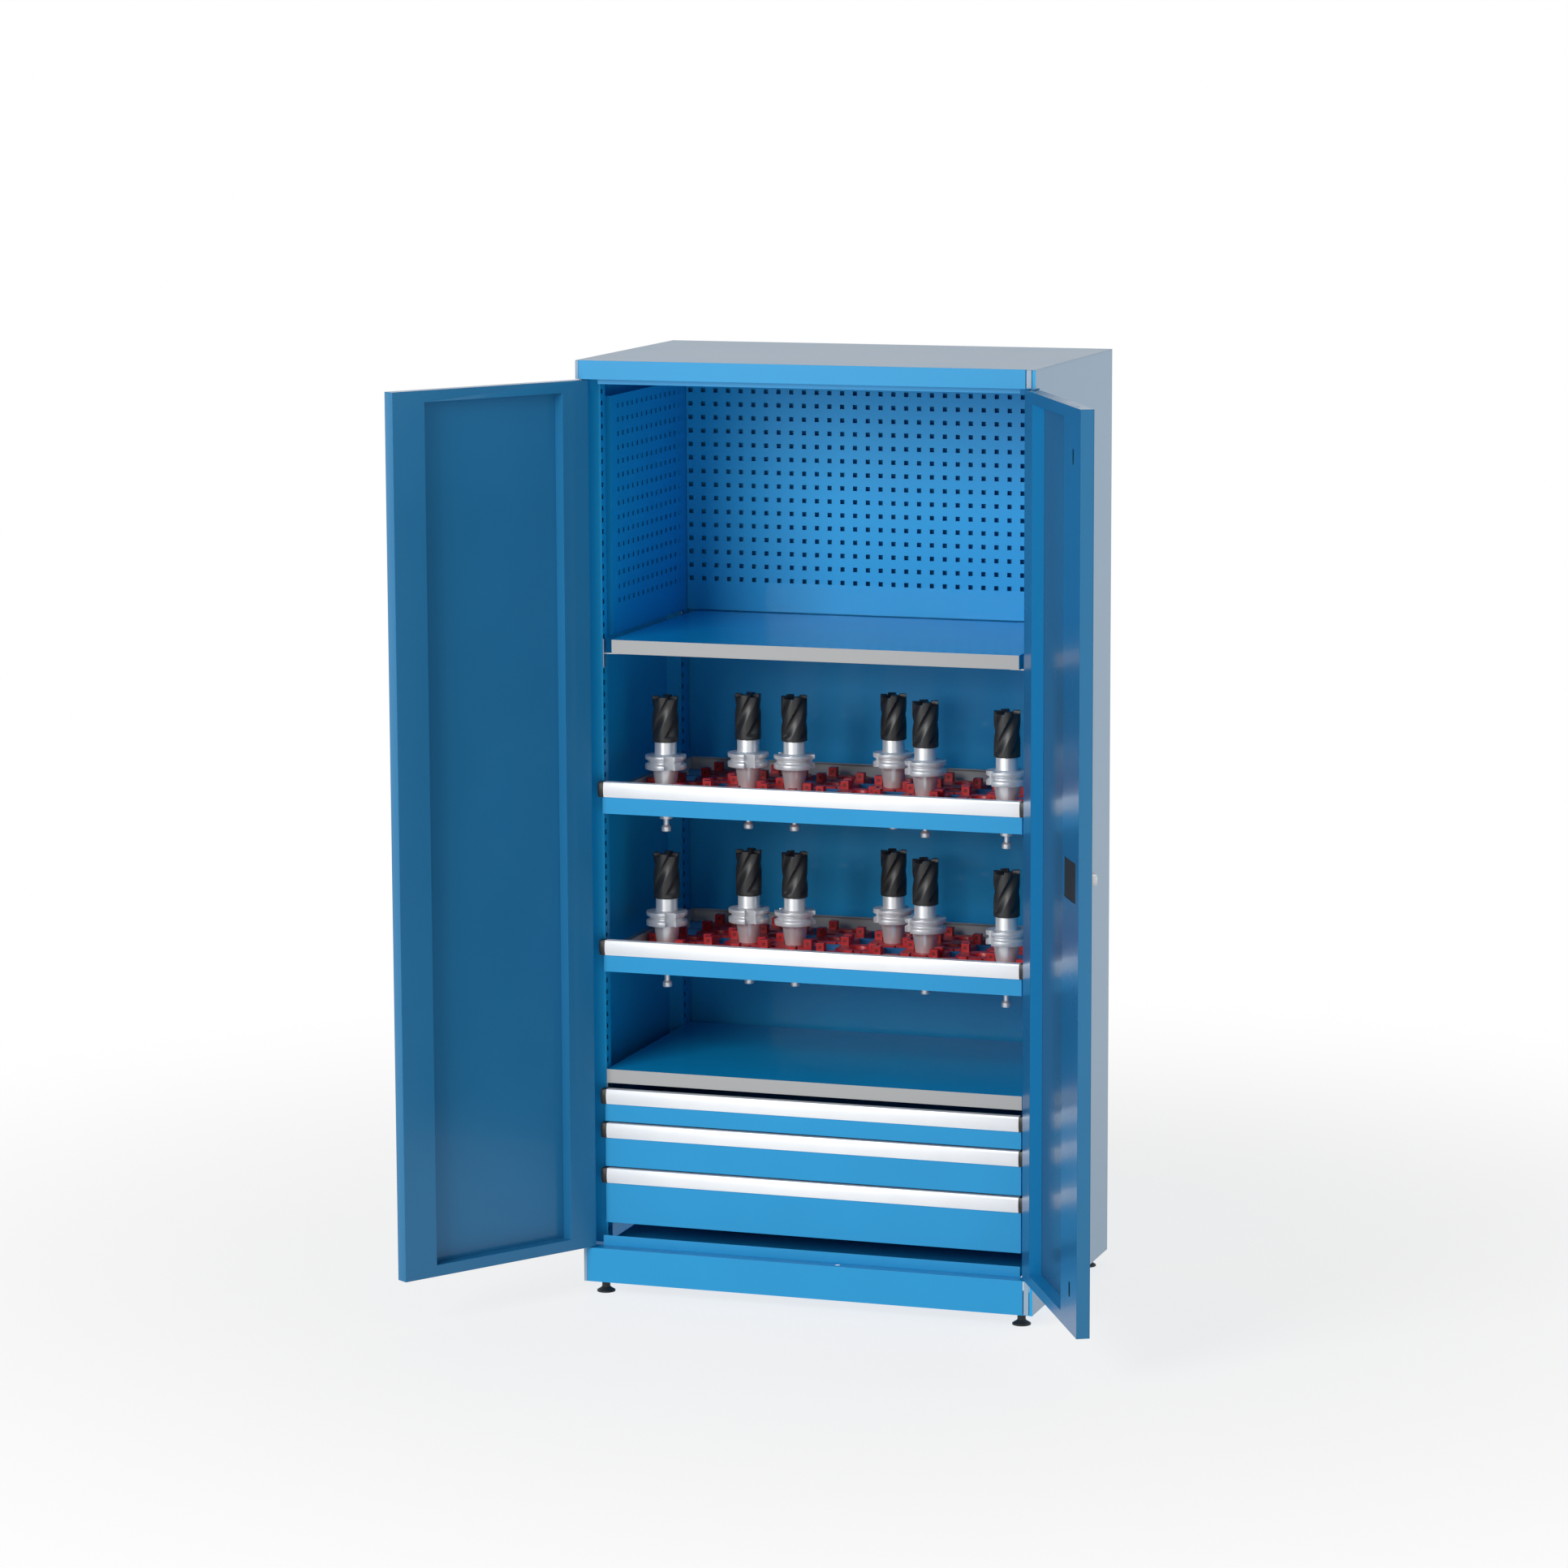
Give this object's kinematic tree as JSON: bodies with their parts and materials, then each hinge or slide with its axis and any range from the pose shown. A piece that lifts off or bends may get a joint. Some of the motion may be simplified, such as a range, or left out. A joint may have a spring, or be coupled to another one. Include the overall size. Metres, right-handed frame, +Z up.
{
  "type": "tool cabinet",
  "caption": "Two-door steel tool cabinet with pull-out taper holder frames, shelves, drawers and a perforated top bay.",
  "frame": {"origin": "on the floor, under the middle of the body, at the middle of the four foot pads", "axes": "+X right, +Y to the back, +Z up"},
  "size_m": [1.5187, 1.0445, 2.03],
  "materials": {
    "side_grey": "smooth grey powder coat",
    "back_blue": "blue powder coat",
    "body_blue": "blue powder coat",
    "trim_grey": "light grey powder coat",
    "shelf_paint": "glossy blue top, light grey front lip",
    "zinc": "bright zinc plate",
    "foot_black": "matt black moulding",
    "door_blue": "blue powder coat",
    "lock_dark": "dark moulded case",
    "lock_metal": "satin grey",
    "guide_black": "black moulding",
    "frame_paint": "blue front, grey rear rail",
    "grip_aluminium": "satin anodised",
    "cap_black": "black moulding",
    "carrier_blue": "blue powder coat",
    "insert_red": "red moulding",
    "holder_steel": "ground and polished steel",
    "cutter_black": "black coated tool steel",
    "drawer_blue": "blue powder coat"
  },
  "bodies": {
    "root": {"back_panel": "back_blue", "corner_trims": "trim_grey", "fixed_runners": "zinc", "floor_panel": "body_blue", "foot_pads": "foot_black", "foot_screws": "zinc", "front_uprights": "body_blue", "hinge_pins": "zinc", "lower_shelf": "shelf_paint", "perforated_back_panel": "body_blue", "perforated_side_panels": "body_blue", "plinth": "body_blue", "rear_uprights": "body_blue", "shelf_clips": "zinc", "side_panel_left": "side_grey", "side_panel_right": "side_grey", "top_fascia": "body_blue", "top_panel": "side_grey", "upper_shelf": "shelf_paint"},
    "left_door": {"left_door_skin": "door_blue", "left_door_frame": "door_blue"},
    "right_door": {"right_door_skin": "door_blue", "right_door_frame": "door_blue", "lock_case": "lock_dark", "lock_escutcheon": "lock_metal", "rod_guides": "guide_black"},
    "lock_lever": {"lock_handle": "lock_metal"},
    "upper_rod": {"lock_rod_upper": "zinc"},
    "lower_rod": {"lock_rod_lower": "zinc"},
    "tool_frame_upper": {"tool_frame_upper": "frame_paint", "frame_handle_upper": "grip_aluminium", "frame_end_caps_upper": "cap_black", "socket_carriers_upper": "carrier_blue", "socket_inserts_upper": "insert_red", "tool_holders_upper": "holder_steel", "pull_studs_upper": "holder_steel", "cutters_upper": "cutter_black"},
    "runners_frame_upper": {"middle_runners_frame_upper": "zinc"},
    "tool_frame_lower": {"tool_frame_lower": "frame_paint", "frame_handle_lower": "grip_aluminium", "frame_end_caps_lower": "cap_black", "socket_carriers_lower": "carrier_blue", "socket_inserts_lower": "insert_red", "tool_holders_lower": "holder_steel", "pull_studs_lower": "holder_steel", "cutters_lower": "cutter_black"},
    "runners_frame_lower": {"middle_runners_frame_lower": "zinc"},
    "drawer_75": {"drawer_75": "drawer_blue", "drawer_handle_75": "grip_aluminium", "drawer_end_caps_75": "cap_black"},
    "runners_drawer_75": {"middle_runners_drawer_75": "zinc"},
    "drawer_100": {"drawer_100": "drawer_blue", "drawer_handle_100": "grip_aluminium", "drawer_end_caps_100": "cap_black"},
    "runners_drawer_100": {"middle_runners_drawer_100": "zinc"},
    "drawer_125": {"drawer_125": "drawer_blue", "drawer_handle_125": "grip_aluminium", "drawer_end_caps_125": "cap_black"},
    "runners_drawer_125": {"middle_runners_drawer_125": "zinc"}
  },
  "joints": [
    {"name": "left_door_hinge", "type": "hinge", "parent": "root", "child": "left_door", "pos_m": [-0.496, -0.295, 0.1], "axis": [0, 0, -1], "range_deg": [-123, 2]},
    {"name": "right_door_hinge", "type": "hinge", "parent": "root", "child": "right_door", "pos_m": [0.496, -0.295, 0.1], "axis": [0, 0, 1], "range_deg": [-118.5, 6.5]},
    {"name": "lock_lever_turn", "type": "hinge", "parent": "right_door", "child": "lock_lever", "pos_m": [0.70954, -0.66209, 1.036], "axis": [0.8788, 0.4772, 0], "range_deg": [0, 90]},
    {"name": "upper_rod_slide", "type": "slide", "parent": "right_door", "child": "upper_rod", "axis": [0, 0, 1], "range_m": [0, 0.015]},
    {"name": "lower_rod_slide", "type": "slide", "parent": "right_door", "child": "lower_rod", "axis": [0, 0, -1], "range_m": [0, 0.015]},
    {"name": "tool_frame_upper_slide", "type": "slide", "parent": "root", "child": "tool_frame_upper", "axis": [0, -1, 0], "range_m": [0, 0.45]},
    {"name": "runners_frame_upper_slide", "type": "slide", "parent": "root", "child": "runners_frame_upper", "axis": [0, -1, 0], "range_m": [0, 0.225]},
    {"name": "tool_frame_lower_slide", "type": "slide", "parent": "root", "child": "tool_frame_lower", "axis": [0, -1, 0], "range_m": [0, 0.45]},
    {"name": "runners_frame_lower_slide", "type": "slide", "parent": "root", "child": "runners_frame_lower", "axis": [0, -1, 0], "range_m": [0, 0.225]},
    {"name": "drawer_75_slide", "type": "slide", "parent": "root", "child": "drawer_75", "axis": [0, -1, 0], "range_m": [0, 0.45]},
    {"name": "runners_drawer_75_slide", "type": "slide", "parent": "root", "child": "runners_drawer_75", "axis": [0, -1, 0], "range_m": [0, 0.225]},
    {"name": "drawer_100_slide", "type": "slide", "parent": "root", "child": "drawer_100", "axis": [0, -1, 0], "range_m": [0, 0.45]},
    {"name": "runners_drawer_100_slide", "type": "slide", "parent": "root", "child": "runners_drawer_100", "axis": [0, -1, 0], "range_m": [0, 0.225]},
    {"name": "drawer_125_slide", "type": "slide", "parent": "root", "child": "drawer_125", "axis": [0, -1, 0], "range_m": [0, 0.45]},
    {"name": "runners_drawer_125_slide", "type": "slide", "parent": "root", "child": "runners_drawer_125", "axis": [0, -1, 0], "range_m": [0, 0.225]}
  ],
  "couplings": [
    {"joint": "upper_rod_slide", "follows": "lock_lever_turn", "m_per_rad": 0.0095},
    {"joint": "lower_rod_slide", "follows": "lock_lever_turn", "m_per_rad": 0.0095},
    {"joint": "runners_frame_upper_slide", "follows": "tool_frame_upper_slide", "ratio": 0.5},
    {"joint": "runners_frame_lower_slide", "follows": "tool_frame_lower_slide", "ratio": 0.5},
    {"joint": "runners_drawer_75_slide", "follows": "drawer_75_slide", "ratio": 0.5},
    {"joint": "runners_drawer_100_slide", "follows": "drawer_100_slide", "ratio": 0.5},
    {"joint": "runners_drawer_125_slide", "follows": "drawer_125_slide", "ratio": 0.5}
  ]
}
